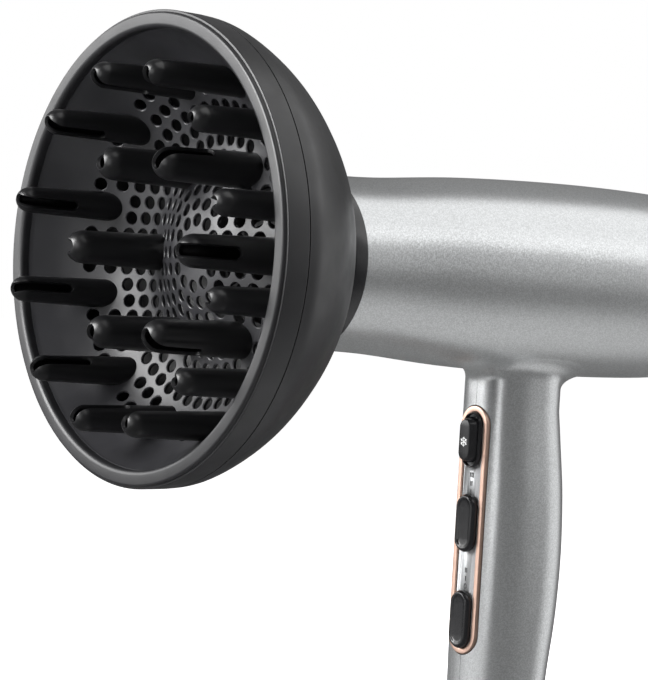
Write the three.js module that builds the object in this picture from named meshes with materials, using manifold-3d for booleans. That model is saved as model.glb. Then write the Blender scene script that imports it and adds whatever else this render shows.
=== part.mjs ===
// Hand-held hair dryer with a bowl diffuser, built from its separate pieces. Millimetres, +Z up.
// The barrel lies along X with its outlet at -X, and the handle hangs towards -Z.
// Pieces are drawn with x counted rearwards from the diffuser's rim and z up from the barrel's axis.
// The dryer group's place then moves the origin to the middle of the barrel's rear face.
import * as THREE from 'three';
import { mergeVertices } from 'three/addons/utils/BufferGeometryUtils.js';
import Module from 'manifold-3d';

const wasm = await Module();
wasm.setup();

// ---- driving dimensions ----
const GAP = 0.3; // between pieces that touch
const WALL = 2.2; // casing wall
const BIG = 400; // larger than the whole dryer

const BARREL_FRONT = 75;
const BARREL_BACK = 262;
const REAR_FACE = 285;
const BARREL_LINE = [[75, 31.5], [100, 32.2], [140, 35.2], [190, 36.7], [236, 36.1], [262, 33.6]];

const RIM_RADIUS = 82.3;
const RIM_DEPTH = 10;
const RIM_INNER_RADIUS = 75.8;
const BOWL_WALL = 1.8;
const BOWL_LINE = [
  [10.3, 82], [16, 81.2], [24, 77.7], [32, 72.9], [40, 66.4], [48, 58.3], [56, 46.8], [62, 35.5],
];
const PLATE_WALL = 1.4;
const PLATE_LINE = [
  [22.3, 0], [22.6, 8], [23.6, 15], [26.6, 23.2], [29.9, 30], [32.7, 37.5], [32.7, 44], [30.6, 51],
  [26.8, 58], [20.8, 64.5], [13, 70.5], [4, 75.4],
];
const NECK_END = 68.4;

const FINGER_BASE_RADIUS = 5.65;
const FINGER_TIP_RADIUS = 4.6;
const FINGER_WALL = 1.2;
const FINGER_SLOT = 3.7;
const OUTER_FINGERS = { count: 12, ring: 61.4, firstDeg: 15, tip: -13, slotEnd: 7.5, facing: -1 };
const INNER_FINGERS = { count: 6, ring: 33.7, firstDeg: 30, tip: -6.2, slotEnd: 12.2, facing: 1 };

const SPIGOT_FRONT = 49;
const SPIGOT_RADIUS = 27.2;
const SPIGOT_WALL = 1.8;

const BOARD_FRONT = 102;
const BOARD_BACK = 164;
const BOARD_HALF = 24;
const BOARD_THICK = 0.8;

const DUCT_FRONT = 188;
const DUCT_BACK = 248;
const DUCT_RADIUS = 31.4;
const MOTOR_RADIUS = 14;
const SHAFT_RADIUS = 1.5;

const HANDLE_END = -178;
// Stations down the handle: height, front edge, back edge and half width.
const HANDLE_STATIONS = [
  [-26, 149.4, 214.4, 24], [-34, 150.4, 210.4, 21.5], [-38.5, 152.9, 203.9, 18.3],
  [-43, 155.4, 197, 16.2], [-50, 156.4, 193.4, 15.5], [-64, 156.4, 195.3, 16], [-82, 156.4, 197.4, 16.8],
  [-105, 156.4, 198.4, 17], [-128, 156.4, 197.4, 16.7], [-150, 156.6, 194.8, 16], [-168, 157, 193.6, 15.5],
  [-175.5, 158, 192.6, 14.7], [HANDLE_END, 160, 190.6, 12.8],
];

const PANEL_MIDDLE = -96.1;
const TRIM_LENGTH = 93.6;
const TRIM_WIDTH = 15;
const TRIM_BAND = 2.2;
const PANEL_FACE = 156.6;
const BUTTON_WIDTH = 10;
const SLIDER_LENGTH = 21.8;
const SLIDER_TRAVEL = 6.4;
const HEAT_SLIDER_MIDDLE = -93.5;
const SPEED_SLIDER_MIDDLE = -129.7;
const COOL_SHOT_MIDDLE = -62.2;
const COOL_SHOT_LENGTH = 21.2;
const SWITCH_BOARD_FACE = 164.4;
const HANDLE_AXIS = 175.4;

// ---- materials ----
function finish(color, roughness, metalness) {
  return new THREE.MeshStandardMaterial({ color, roughness, metalness });
}
const silverPaint = finish(0xa9abaa, 0.35, 0.6);
const panelSilver = finish(0xb9bbbc, 0.3, 0.7);
const blackGloss = finish(0x141414, 0.2, 0);
const blackSatin = finish(0x1d1d1f, 0.45, 0);
const shellSatin = finish(0x3a3b3e, 0.4, 0);
const plateGrey = finish(0x2c2c2e, 0.5, 0);
const roseGold = finish(0xc98f78, 0.3, 0.9);
const mica = finish(0xb79b6a, 0.6, 0);
const nichrome = finish(0x7c7873, 0.35, 1);
const steel = finish(0xa0a2a5, 0.35, 1);
const copper = finish(0xb56a3c, 0.4, 1);
const whitePlastic = finish(0xd8d6cf, 0.5, 0);
const greenBoard = finish(0x2f5a3a, 0.5, 0);

// ---- solids from three.js geometries ----
// Merges a geometry's corners, drops collapsed triangles and turns its faces outwards.
function solid(geometry) {
  geometry.deleteAttribute('normal');
  geometry.deleteAttribute('uv');
  const merged = mergeVertices(geometry, 1e-4);
  const corner = merged.index.array;
  const at = (i) => new THREE.Vector3().fromBufferAttribute(merged.attributes.position, i);
  const kept = [];
  let volume = 0;
  for (let i = 0; i < corner.length; i += 3) {
    const [a, b, c] = [corner[i], corner[i + 1], corner[i + 2]];
    if (a === b || b === c || c === a) continue;
    kept.push([a, b, c]);
    volume += at(a).dot(at(b).cross(at(c)));
  }
  const facing = volume < 0 ? kept.map(([a, b, c]) => [a, c, b]) : kept;
  const vertProperties = merged.attributes.position.array;
  const triVerts = Uint32Array.from(facing.flat());
  return new wasm.Manifold(new wasm.Mesh({ numProp: 3, vertProperties, triVerts }));
}

// Turns an outline of [x, radius] points about the X axis. An outline off the axis closes on itself.
function turned(outline, sides) {
  const points = outline.map(([x, radius]) => new THREE.Vector2(radius, x));
  if (outline[0][1] > 0) points.push(points[0].clone());
  const geometry = new THREE.LatheGeometry(points, sides);
  geometry.rotateZ(-Math.PI / 2);
  return solid(geometry);
}

function tube(front, back, innerRadius, outerRadius, sides) {
  const outline = [[front, innerRadius], [front, outerRadius], [back, outerRadius], [back, innerRadius]];
  return turned(outline, sides);
}

function box(x, y, z) {
  const geometry = new THREE.BoxGeometry(x[1] - x[0], y[1] - y[0], z[1] - z[0]);
  geometry.translate((x[0] + x[1]) / 2, (y[0] + y[1]) / 2, (z[0] + z[1]) / 2);
  return solid(geometry);
}

// A rod along Y at one x and z.
function crossRod(x, z, y, radius, sides) {
  const geometry = new THREE.CylinderGeometry(radius, radius, y[1] - y[0], sides);
  geometry.translate(x, (y[0] + y[1]) / 2, z);
  return solid(geometry);
}

// An upright rod on the handle's axis.
function uprightRod(radius, z, sides) {
  const geometry = new THREE.CylinderGeometry(radius, radius, z[1] - z[0], sides);
  geometry.rotateX(Math.PI / 2);
  geometry.translate(HANDLE_AXIS, 0, (z[0] + z[1]) / 2);
  return solid(geometry);
}

// An upright obround outline, its width along Y and its length along Z.
function obround(width, length, middle) {
  const radius = width / 2;
  const reach = length / 2 - radius;
  const shape = new THREE.Shape();
  shape.absarc(0, middle + reach, radius, 0, Math.PI, false);
  shape.absarc(0, middle - reach, radius, Math.PI, 2 * Math.PI, false);
  return shape;
}

// Extrudes a shape drawn in Y and Z along X.
function slab(shape, x, curveSegments = 6) {
  const options = { depth: x[1] - x[0], bevelEnabled: false, curveSegments };
  const geometry = new THREE.ExtrudeGeometry(shape, options);
  geometry.applyMatrix4(new THREE.Matrix4().set(0, 0, 1, x[0], 1, 0, 0, 0, 0, 1, 0, 0, 0, 0, 0, 1));
  return solid(geometry);
}

function obroundSlab(width, length, middle, x) {
  return slab(obround(width, length, middle), x);
}

// Points on a smooth line through [x, radius] stations.
function smooth(stations, steps) {
  const line = new THREE.SplineCurve(stations.map(([x, radius]) => new THREE.Vector2(x, radius)));
  return line.getPoints(steps).map((p) => [p.x, Math.max(p.y, 0)]);
}

// The same line moved sideways by a distance, to the side with more x or less radius.
function offset(line, distance) {
  return line.map(([x, radius], i) => {
    const [ax, ar] = line[Math.max(i - 1, 0)];
    const [bx, br] = line[Math.min(i + 1, line.length - 1)];
    const length = Math.hypot(bx - ax, br - ar);
    return [x + (distance * (br - ar)) / length, Math.max(radius - (distance * (bx - ax)) / length, 0)];
  });
}

function cut(body, ...tools) {
  return tools.reduce((left, tool) => left.subtract(tool), body);
}

function join(...bodies) {
  return bodies.reduce((whole, body) => whole.add(body));
}

// ---- the scene graph ----
const dryer = new THREE.Group();
dryer.position.x = -REAR_FACE;

function geometryOf(body) {
  const { vertProperties, triVerts } = body.getMesh();
  const geometry = new THREE.BufferGeometry();
  geometry.setAttribute('position', new THREE.BufferAttribute(Float32Array.from(vertProperties), 3));
  geometry.setIndex(Array.from(triVerts));
  geometry.computeVertexNormals();
  return geometry;
}

function piece(name, body, material) {
  const mesh = new THREE.Mesh(geometryOf(body), material);
  mesh.name = name;
  dryer.add(mesh);
  return mesh;
}

// ---- casing: a barrel and a handle in one hollow, split at y = 0 ----
const SECTION_SIDES = 24;
const FRONT_POWER = 2.6; // a squarer front, for the panel
const BACK_POWER = 2.2;

// A handle-shaped solid through the stations, drawn in by an inset.
function handleSolid(inset, lowest) {
  const stations = HANDLE_STATIONS.map(
    ([z, front, back, half]) => [z, front + inset, back - inset, half - inset],
  );
  stations[stations.length - 1][0] = lowest;
  const rows = stations.length - 1;
  const geometry = new THREE.CylinderGeometry(1, 1, 1, SECTION_SIDES, rows);
  const position = geometry.attributes.position;
  for (let i = 0; i < position.count; i++) {
    const [z, front, back, half] = stations[Math.round((0.5 - position.getY(i)) * rows)];
    const [along, across] = [position.getX(i), position.getZ(i)];
    const radius = Math.hypot(along, across);
    const power = along < 0 ? FRONT_POWER : BACK_POWER;
    const reach = radius && (Math.abs(along) ** power + Math.abs(across) ** power) ** (-1 / power);
    const middle = (front + back) / 2;
    position.setXYZ(i, middle + (along * reach * (back - front)) / 2, across * reach * half, z);
  }
  return solid(geometry);
}

const SCREW_HEAD_SEAT = 10.2;
const HOUSING_SCREWS = [{ x: 185.4, z: -68 }, { x: 185.4, z: -140 }];
const CLAMP = { z: [-163, -157], cordReach: [-166, -154], x: [167.4, 184.4], screwX: 182, cordRadius: 3.4 };

function makeCasing() {
  const SIDES = 32;
  const barrelLine = smooth(BARREL_LINE, 9);
  const barrel = turned([[BARREL_FRONT, 0], ...barrelLine, [BARREL_BACK, 0]], SIDES);
  const bore = barrelLine.map(([x, radius]) => [x, radius - WALL]);
  const frontRadius = bore[0][1];
  const backRadius = bore.at(-1)[1];
  const boreLine = [[BARREL_FRONT - 1, 0], [BARREL_FRONT - 1, frontRadius], ...bore.slice(1, -1),
    [BARREL_BACK + 1, backRadius], [BARREL_BACK + 1, 0]];
  const outside = barrel.add(handleSolid(0, HANDLE_END));
  const hollow = turned(boreLine, SIDES).add(handleSolid(WALL, HANDLE_END - 1));
  const panelOpening = obroundSlab(TRIM_WIDTH + 2 * GAP, TRIM_LENGTH + 2 * GAP, PANEL_MIDDLE, [150, 161.4]);
  const walls = cut(outside, hollow, panelOpening);
  const side = (y) => box([-BIG, BIG], y, [-BIG, BIG]);

  let right = walls;
  let left = walls;
  for (const { x, z } of HOUSING_SCREWS) {
    right = right.add(crossRod(x, z, [1, 16.5], 3.6, 12).intersect(outside));
    right = cut(right, crossRod(x, z, [-1, 20], 1.7, 10), crossRod(x, z, [SCREW_HEAD_SEAT, 20], 2.9, 10));
    left = left.add(crossRod(x, z, [-16.5, 0], 3.6, 12).intersect(outside));
    left = cut(left, crossRod(x, z, [-11, 1], 1.7, 10));
  }
  const clampSeat = box(CLAMP.x, [-16, -2], CLAMP.z).intersect(outside);
  const cordWay = uprightRod(CLAMP.cordRadius, CLAMP.cordReach, 12);
  const clampBore = crossRod(CLAMP.screwX, (CLAMP.z[0] + CLAMP.z[1]) / 2, [-11, 1], 1.5, 10);
  left = cut(left.add(clampSeat), clampBore, cordWay);
  piece('left_housing', left.intersect(side([-BIG, -GAP / 2])), silverPaint);
  piece('right_housing', right.intersect(side([GAP / 2, BIG])), silverPaint);
}
makeCasing();

// A pan-head screw along Y, its head towards +Y and its seat at y = 0.
function screwSolid(length) {
  const head = crossRod(0, 0, [0, 2], 2.4, 12);
  const driveSlot = box([-3, 3], [1.2, 3], [-0.4, 0.4]);
  return cut(head, driveSlot).add(crossRod(0, 0, [-length, 0.1], 1.3, 10));
}

HOUSING_SCREWS.forEach(({ x, z }, i) => {
  const screw = piece(`housing_screw_${i + 1}`, screwSolid(20), steel);
  screw.position.set(x, SCREW_HEAD_SEAT + GAP, z);
});

// ---- barrel front: collar, outlet spigot and its grille ----
function makeFront() {
  const FLANGE = 82.4;
  const sleeveRadius = SPIGOT_RADIUS + 0.4;
  piece('front_ring', turned([[68.9, sleeveRadius], [68.9, 31.3], [69.5, 31.9], [74.7, 31.9],
    [74.7, 29], [FLANGE - 0.4, 29], [FLANGE - 0.4, sleeveRadius]], 28), blackGloss);
  const spigotInner = SPIGOT_RADIUS - SPIGOT_WALL;
  piece('outlet_nozzle', turned([[SPIGOT_FRONT, spigotInner], [SPIGOT_FRONT, SPIGOT_RADIUS],
    [FLANGE, SPIGOT_RADIUS], [FLANGE, 29], [FLANGE + 2, 29], [FLANGE + 2, SPIGOT_RADIUS],
    [98, SPIGOT_RADIUS], [98, spigotInner]], 24), blackSatin);
  const GRILLE = [54, 56];
  let grille = join(tube(...GRILLE, 23.6, spigotInner - GAP, 16), tube(...GRILLE, 13, 14.4, 12));
  const SPOKES = 3;
  for (let i = 0; i < SPOKES; i++) {
    const spoke = new THREE.BoxGeometry(GRILLE[1] - GRILLE[0], 1.2, 48.6);
    spoke.rotateX((i * Math.PI) / SPOKES);
    spoke.translate((GRILLE[0] + GRILLE[1]) / 2, 0, 0);
    grille = grille.add(solid(spoke));
  }
  piece('outlet_grille', grille, blackSatin);
}
makeFront();

// ---- heater: mica sleeve, two crossed mica boards, two coils and a thermostat ----
class Helix extends THREE.Curve {
  constructor(start, radius, turns, pitch) {
    super();
    Object.assign(this, { start, radius, turns, pitch });
  }

  getPoint(t) {
    const angle = 2 * Math.PI * this.turns * t;
    const x = this.start + this.pitch * this.turns * t;
    return new THREE.Vector3(x, this.radius * Math.cos(angle), this.radius * Math.sin(angle));
  }
}

function coilSolid(helix, wireRadius, stepsPerTurn) {
  const section = new THREE.Shape();
  section.absarc(0, 0, wireRadius, 0, 2 * Math.PI, false);
  const steps = Math.round(stepsPerTurn * helix.turns);
  return solid(new THREE.ExtrudeGeometry(section, { steps, extrudePath: helix, curveSegments: 2 }));
}

function makeHeater() {
  const SHIELD = { front: 98.4, back: 168, innerRadius: 27.4, outerRadius: 28.1 };
  piece('heat_shield', tube(SHIELD.front, SHIELD.back, SHIELD.innerRadius, SHIELD.outerRadius, 20), mica);

  const halfThick = BOARD_THICK / 2;
  const slotHalf = halfThick + GAP;
  const middle = (BOARD_FRONT + BOARD_BACK) / 2;
  const length = [BOARD_FRONT, BOARD_BACK];
  const wide = [-BOARD_HALF, BOARD_HALF];
  const thin = [-halfThick, halfThick];
  const slot = [-slotHalf, slotHalf];
  const flatSlot = box([BOARD_FRONT - 1, middle + GAP / 2], slot, [-2, 2]);
  const uprightSlot = box([middle - GAP / 2, BOARD_BACK + 1], [-2, 2], slot);
  piece('heater_board_flat', cut(box(length, wide, thin), flatSlot), mica);
  piece('heater_board_upright', cut(box(length, thin, wide), uprightSlot), mica);

  const COIL = { radius: BOARD_HALF + 1.3, turns: 5, pitch: 4.2, wireRadius: 0.6 };
  for (const [name, front] of [['heater_coil_low', 108], ['heater_coil_high', 136]]) {
    const path = new Helix(front, COIL.radius, COIL.turns, COIL.pitch);
    piece(name, coilSolid(path, COIL.wireRadius, 8), nichrome);
  }

  const CUTOUT = { radius: 5, thick: 3.4, x: 153, y: -11 };
  const thermostat = new THREE.CylinderGeometry(CUTOUT.radius, CUTOUT.radius, CUTOUT.thick, 12);
  thermostat.rotateX(Math.PI / 2);
  thermostat.translate(CUTOUT.x, CUTOUT.y, halfThick + GAP + CUTOUT.thick / 2);
  piece('thermostat', solid(thermostat), steel);
}
makeHeater();

// ---- fan: duct with stator vanes, motor and impeller ----
// A turned hub with flat blades, each pitched by an angle and standing on the hub's side.
function bladed(hub, count, { chord, thick, span, pitchDeg, x, middleRadius }) {
  let body = hub;
  for (let i = 0; i < count; i++) {
    const blade = new THREE.BoxGeometry(chord, thick, span);
    blade.rotateZ(THREE.MathUtils.degToRad(pitchDeg));
    blade.translate(x, 0, middleRadius);
    blade.rotateX((2 * Math.PI * i) / count);
    body = body.add(solid(blade));
  }
  return body;
}

function makeFan() {
  const CAN_FRONT = 176;
  const CAN_BACK = 212;
  const SHAFT = [172, 243];
  const sleeve = tube(DUCT_FRONT + 4, CAN_BACK, MOTOR_RADIUS + 0.4, MOTOR_RADIUS + 2, 20);
  const duct = join(tube(DUCT_FRONT, DUCT_BACK, DUCT_RADIUS, DUCT_RADIUS + 1.4, 24), sleeve);
  const VANES = { chord: 14, thick: 1.4, span: 17, pitchDeg: -15, x: 202, middleRadius: 23.6 };
  piece('fan_duct', bladed(duct, 7, VANES), blackSatin);

  const bearing = SHAFT_RADIUS + 0.4;
  const canWall = 2;
  piece('motor_can', turned([[CAN_FRONT, bearing], [CAN_FRONT, MOTOR_RADIUS], [CAN_BACK, MOTOR_RADIUS],
    [CAN_BACK, MOTOR_RADIUS - canWall], [CAN_FRONT + canWall, MOTOR_RADIUS - canWall],
    [CAN_FRONT + canWall, bearing]], 20), steel);
  piece('motor_end_cap', tube(CAN_BACK + GAP, CAN_BACK + 2.4, bearing, MOTOR_RADIUS - 0.4, 20), whitePlastic);
  const rotorRadius = MOTOR_RADIUS - canWall - 1.2;
  piece('motor_rotor', tube(CAN_FRONT + 5, CAN_BACK - 3, SHAFT_RADIUS + GAP, rotorRadius, 16), copper);
  piece('motor_shaft', turned([[SHAFT[0], 0], [SHAFT[0], SHAFT_RADIUS], [SHAFT[1], SHAFT_RADIUS],
    [SHAFT[1], 0]], 10), steel);

  const shaftHole = SHAFT_RADIUS + GAP;
  const hub = turned([[222, shaftHole], [222, 11], [234, 11], [239, 8.5], [241, 5], [241, shaftHole]], 18);
  const BLADES = { chord: 15, thick: 1.3, span: 20.4, pitchDeg: 38, x: 230, middleRadius: 20.2 };
  piece('impeller', bladed(hub, 9, BLADES), whitePlastic);
}
makeFan();

// ---- barrel rear: fixed bezel, pull-off grille and its filter ----
const REAR_CAP_LINE = [[262.4, 33.5], [269, 32.2], [277, 28.9], [283, 23.6], [REAR_FACE, 17.5]];

function makeRear() {
  const BEZEL = [[250, 28.6], [250, 31], [262, 31], [262.3, 30.6], [269, 30], [269, 28.6]];
  piece('rear_bezel', turned(BEZEL, 24), blackSatin);

  const CAP_WALL = 1.6;
  const outer = smooth(REAR_CAP_LINE, 5);
  const inner = offset(outer, CAP_WALL);
  let grille = turned([[REAR_FACE, 0], ...outer.reverse(), ...inner, [REAR_FACE - CAP_WALL, 0]], 24);
  const SLOTS = 16;
  for (let i = 0; i < SLOTS; i++) {
    const slot = new THREE.BoxGeometry(22, 2.2, 12.5);
    slot.translate(282, 0, 19.5);
    slot.rotateX((2 * Math.PI * i) / SLOTS);
    grille = grille.subtract(solid(slot));
  }
  piece('rear_grille', grille, silverPaint);
  piece('lint_filter', turned([[270, 0], [270, 28.6], [270.8, 28.6], [270.8, 0]], 24), steel);
}
makeRear();

// ---- control panel on the handle's front ----
const THROUGH = [140, 163]; // the reach in x of a cut through every panel piece
const CAP_BACK = PANEL_FACE - GAP;
const SWITCH_BACK = SWITCH_BOARD_FACE - GAP;
const SLIDER_FACE = 153.4;
const SLIDER_DISH = { radius: 16, depth: 0.9 };
const STEM = { halfWidth: 1.9, halfLength: 3, end: 161.8 };

// The reach in z that a slider's stem sweeps over its travel, made longer at both ends by a margin.
function stemReach(middle, margin) {
  return [middle - STEM.halfLength - margin, middle + STEM.halfLength + SLIDER_TRAVEL + margin];
}

function makeSlider(prefix, middle) {
  const cap = obroundSlab(BUTTON_WIDTH, SLIDER_LENGTH, middle, [SLIDER_FACE, CAP_BACK]);
  const { radius, depth } = SLIDER_DISH;
  const thumb = new THREE.CylinderGeometry(radius, radius, 2 * BUTTON_WIDTH, 40);
  thumb.translate(SLIDER_FACE - radius + depth, 0, middle);
  const stemWidth = [-STEM.halfWidth, STEM.halfWidth];
  const stemHeight = [middle - STEM.halfLength, middle + STEM.halfLength];
  const stem = box([CAP_BACK - 0.5, STEM.end], stemWidth, stemHeight);
  piece(`${prefix}_slider`, cut(cap, solid(thumb)).add(stem), blackGloss);

  const SWITCH_FRONT = 160.7;
  const body = box([SWITCH_FRONT, SWITCH_BACK], [-5, 5], stemReach(middle, 4));
  const grooveWidth = stemWidth.map((y) => y * 1.2);
  const groove = box([SWITCH_FRONT - GAP, STEM.end + 0.5], grooveWidth, stemReach(middle, 0.5));
  piece(`${prefix}_switch`, cut(body, groove), blackSatin);
}

function makePanel() {
  const trimInner = TRIM_WIDTH - 2 * TRIM_BAND;
  const trimOpening = obroundSlab(trimInner, TRIM_LENGTH - 2 * TRIM_BAND, PANEL_MIDDLE, THROUGH);
  const trim = obroundSlab(TRIM_WIDTH, TRIM_LENGTH, PANEL_MIDDLE, [PANEL_FACE - 0.6, PANEL_FACE + 2.2]);
  piece('trim_ring', cut(trim, trimOpening), roseGold);

  const stripWidth = trimInner - 2 * GAP;
  const stripLength = TRIM_LENGTH - 2 * TRIM_BAND - 2 * GAP;
  const strip = obroundSlab(stripWidth, stripLength, PANEL_MIDDLE, [PANEL_FACE, PANEL_FACE + 2.8]);
  const flangeDepth = [PANEL_FACE + 2.5, PANEL_FACE + 3.8];
  const flange = obroundSlab(TRIM_WIDTH - 1, TRIM_LENGTH - 1, PANEL_MIDDLE, flangeDepth);
  const slotHalf = STEM.halfWidth + GAP;
  const slots = [HEAT_SLIDER_MIDDLE, SPEED_SLIDER_MIDDLE].map(
    (middle) => box(THROUGH, [-slotHalf, slotHalf], stemReach(middle, GAP)),
  );
  const BEZEL_BAND = 1.1;
  const buttonWidth = BUTTON_WIDTH - 2 * BEZEL_BAND;
  const buttonLength = COOL_SHOT_LENGTH - 4;
  const openingWidth = buttonWidth + 2 * GAP;
  const buttonOpening = obroundSlab(openingWidth, buttonLength + 2 * GAP, COOL_SHOT_MIDDLE, THROUGH);
  piece('panel_insert', cut(join(strip, flange), ...slots, buttonOpening), panelSilver);

  const bezel = obroundSlab(BUTTON_WIDTH, COOL_SHOT_LENGTH, COOL_SHOT_MIDDLE, [154.4, CAP_BACK]);
  piece('cool_shot_bezel', cut(bezel, buttonOpening), blackGloss);
  const BUTTON_END = 159.8;
  const button = obroundSlab(buttonWidth, buttonLength, COOL_SHOT_MIDDLE, [151.5, BUTTON_END]);
  piece('cool_shot_button', button, blackGloss);

  makeSlider('heat', HEAT_SLIDER_MIDDLE);
  makeSlider('speed', SPEED_SLIDER_MIDDLE);

  const springPath = new Helix(BUTTON_END + 0.5, 2.3, 4, 0.9);
  const spring = piece('cool_shot_spring', coilSolid(springPath, 0.25, 8), steel);
  spring.position.z = COOL_SHOT_MIDDLE + 3;
  piece('cool_shot_switch', box([161.8, SWITCH_BACK], [-3.5, 3.5], [-71, -66]), blackSatin);
  piece('switch_board', box([SWITCH_BOARD_FACE, SWITCH_BOARD_FACE + 1.6], [-7, 7], [-150, -53]), greenBoard);
}
makePanel();

// ---- handle end: terminals, cord inlet and end cap ----
const UPRIGHT_SIDES = 16;

// A closed outline of [radius, z] points turned about the handle's axis.
function uprightTurned(outline) {
  const points = outline.map(([radius, z]) => new THREE.Vector2(radius, z));
  const geometry = new THREE.LatheGeometry([...points, points[0].clone()], UPRIGHT_SIDES);
  geometry.rotateX(Math.PI / 2);
  geometry.translate(HANDLE_AXIS, 0, 0);
  return solid(geometry);
}

function makeHandleEnd() {
  const block = box([169.4, 181.4], [-7, 7], [-134, -118]);
  const WELL_PITCH = 4.6;
  const WELL_HALF = 1.4;
  const wells = [-WELL_PITCH, 0, WELL_PITCH].map(
    (y) => box([178.4, 182.4], [y - WELL_HALF, y + WELL_HALF], [-132, -120]),
  );
  piece('terminal_block', cut(block, ...wells), whitePlastic);

  const CAP_TOP = -174.2;
  const GLAND = { bore: 3.6, radius: 5.9, flange: 8, low: -180, high: -166 };
  piece('cord_gland', uprightTurned([
    [GLAND.bore, GLAND.low], [GLAND.radius - 0.6, GLAND.low], [GLAND.radius, GLAND.low + 1],
    [GLAND.radius, CAP_TOP + GAP], [GLAND.flange, CAP_TOP + GAP], [GLAND.flange, CAP_TOP + 2],
    [GLAND.radius, CAP_TOP + 2], [GLAND.radius, GLAND.high], [GLAND.bore, GLAND.high],
  ]), blackSatin);
  const slice = box([-BIG, BIG], [-BIG, BIG], [HANDLE_END, CAP_TOP]);
  const cap = handleSolid(WALL + GAP, HANDLE_END - 1).intersect(slice);
  const capHole = uprightRod(GLAND.radius + GAP, [HANDLE_END - 1, CAP_TOP + 1], UPRIGHT_SIDES);
  piece('handle_end_cap', cut(cap, capHole), blackSatin);

  const middle = (CLAMP.z[0] + CLAMP.z[1]) / 2;
  const barSpan = [1.6, 5];
  const cordWay = uprightRod(CLAMP.cordRadius, CLAMP.cordReach, 12);
  const screwBore = crossRod(CLAMP.screwX, middle, [0, 9], 1.5, 10);
  piece('cable_clamp', cut(box(CLAMP.x, barSpan, CLAMP.z), cordWay, screwBore), whitePlastic);
  const screw = piece('clamp_screw', screwSolid(14), steel);
  screw.position.set(CLAMP.screwX, barSpan[1] + GAP, middle);
}
makeHandleEnd();

// ---- diffuser: clip ring, bowl, rim, plate and fingers ----
const PLATE_STEPS = 10;
const plateFront = smooth(PLATE_LINE, PLATE_STEPS);

function fingerSolid({ ring, tip, slotEnd, facing }) {
  const sides = 8;
  const base = 45;
  const domed = (front, tipRadius, baseRadius) => [[front, 0], [front + 0.35 * tipRadius, 0.62 * tipRadius],
    [front + tipRadius, tipRadius], [base, baseRadius], [base, 0]];
  const outer = turned(domed(tip, FINGER_TIP_RADIUS, FINGER_BASE_RADIUS), sides);
  const [tipHollow, baseHollow] = [FINGER_TIP_RADIUS - FINGER_WALL, FINGER_BASE_RADIUS - FINGER_WALL];
  const inner = turned(domed(tip + FINGER_WALL, tipHollow, baseHollow), 6);
  const slotShape = new THREE.Shape();
  slotShape.absarc(slotEnd, 0, FINGER_SLOT / 2, -Math.PI / 2, Math.PI / 2, false);
  slotShape.lineTo(tip - 2, FINGER_SLOT / 2);
  slotShape.lineTo(tip - 2, -FINGER_SLOT / 2);
  const slot = new THREE.ExtrudeGeometry(slotShape, { depth: 12, bevelEnabled: false, curveSegments: 4 });
  slot.translate(0, 0, facing > 0 ? 0 : -12);
  const finger = geometryOf(cut(outer, inner, solid(slot)));
  finger.translate(0, 0, ring);
  // The base follows the plate, so what lies behind the plate's face is taken off.
  const face = plateFront.map(([x, radius]) => [x - GAP, radius]);
  const behind = turned([...face, [60, face.at(-1)[1]], [60, 0]], 36);
  return solid(finger).subtract(behind);
}

function makeDiffuser() {
  const SIDES = 36;
  const clipInner = SPIGOT_RADIUS + 0.35;
  piece('neck_clip_ring', turned([[50.8, clipInner], [50.8, 30.9], [52.8, 30.9], [52.8, 29.35], [68.3, 29.35],
    [68.3, clipInner]], 24), blackSatin);

  const bowl = smooth(BOWL_LINE, 7);
  const inner = offset(bowl, BOWL_WALL).reverse();
  const neckStart = 53.2;
  const [neckInner, neckOuter] = [29.7, 31.3];
  piece('diffuser_shell', turned([...bowl, [64.4, 31.9], [66, neckOuter], [NECK_END, neckOuter],
    [NECK_END, neckInner], [neckStart, neckInner], [neckStart, neckOuter], ...inner], SIDES), shellSatin);

  const lip = -0.6;
  const seat = 3;
  const rim = [
    [lip, RIM_INNER_RADIUS], [lip, RIM_RADIUS - 1.1], [0.2, RIM_RADIUS], [4, RIM_RADIUS], [RIM_DEPTH, 82.05],
    [RIM_DEPTH, 80.3], [seat, 79.8], [seat, RIM_INNER_RADIUS],
  ];
  piece('diffuser_rim', turned(rim, SIDES), shellSatin);

  const flange = [seat + GAP, seat + GAP + 1.4];
  const back = offset(plateFront, PLATE_WALL);
  const plateOuter = plateFront.at(-1)[1] + PLATE_WALL;
  let plate = turned([...plateFront, [flange[0], 75.6], [flange[0], 79.4], [flange[1], 79.4],
    [flange[1], plateOuter], ...back.slice(1, -1).reverse(), [plateFront[0][0] + PLATE_WALL, 0]], SIDES);

  for (const [prefix, set] of [['outer', OUTER_FINGERS], ['inner', INNER_FINGERS]]) {
    const finger = fingerSolid(set);
    for (let i = 0; i < set.count; i++) {
      const turn = THREE.MathUtils.degToRad(set.firstDeg + (360 * i) / set.count);
      const mesh = piece(`${prefix}_finger_${i + 1}`, finger, blackGloss);
      mesh.rotation.x = turn;
      const airHole = new THREE.CylinderGeometry(3, 3, 30, 8);
      airHole.rotateZ(Math.PI / 2);
      airHole.translate(34, 0, set.ring);
      airHole.rotateX(turn);
      plate = plate.subtract(solid(airHole));
    }
  }
  piece('diffuser_plate', plate, plateGrey);
}
makeDiffuser();

const group = new THREE.Group();
group.add(dryer);
export default group;
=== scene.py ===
"""The looks of a hair dryer with a bowl diffuser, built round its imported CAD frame.

Shapes are drawn in millimetres, with x counted rearwards from the diffuser's rim and z up from the
barrel's axis. in_frame() turns such a point into the row frame, in metres, whose origin is the middle
of the barrel's rear face.
"""

import math

import bmesh
import bpy
from mathutils import Matrix, Vector


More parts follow.
